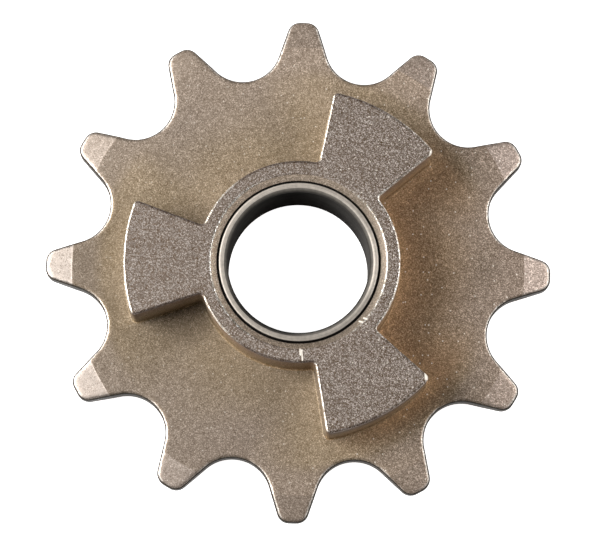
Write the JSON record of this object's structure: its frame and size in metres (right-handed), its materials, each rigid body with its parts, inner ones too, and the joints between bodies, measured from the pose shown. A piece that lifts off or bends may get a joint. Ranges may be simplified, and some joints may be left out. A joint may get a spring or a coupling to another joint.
{
  "type": "drive sprocket",
  "caption": "Flat roller-chain sprocket with a raised hub, sector-shaped driving dogs that a clutch turns it by, and a thin plain bearing bush pressed into its bore.",
  "frame": {"origin": "on the axis, at the back face of the boss that the sprocket stands on", "axes": "+Z along the axis, from the back towards the driving dogs; +X through the middle of a tooth and of the gap between two dogs"},
  "size_m": [0.0528, 0.0528, 0.0109],
  "materials": {
    "sintered_steel": "satin",
    "bush_steel": "satin"
  },
  "bodies": {
    "root": {"sprocket_body": "sintered_steel", "bearing_bush": "bush_steel"}
  },
  "joints": []
}
